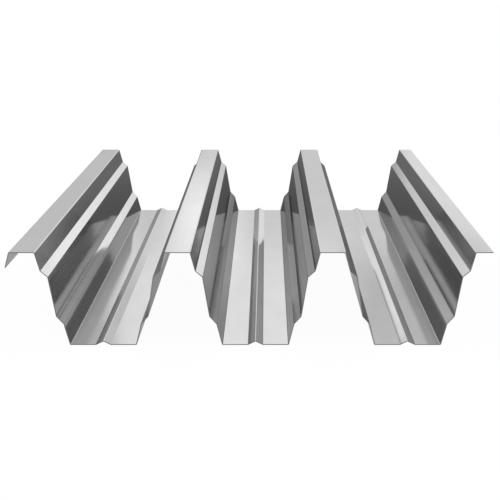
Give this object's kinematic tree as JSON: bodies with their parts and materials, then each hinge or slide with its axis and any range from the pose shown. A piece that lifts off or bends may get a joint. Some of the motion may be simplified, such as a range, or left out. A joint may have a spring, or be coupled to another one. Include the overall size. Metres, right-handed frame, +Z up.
{
  "type": "trapezoidal steel sheet",
  "caption": "Deep trapezoidal steel deck sheet with narrow crests, stepped webs, a shallow rib in each trough and a lap lip along one edge.",
  "frame": {"origin": "on the floor, in the middle of the sheet's footprint", "axes": "+X across the sheet from the lap lip to the lap flange, +Y along the ribs, +Z up through the crests"},
  "size_m": [0.7856, 1, 0.158],
  "materials": {
    "galvanised_steel": "satin"
  },
  "bodies": {
    "root": {"profiled_sheet": "galvanised_steel"}
  },
  "joints": []
}
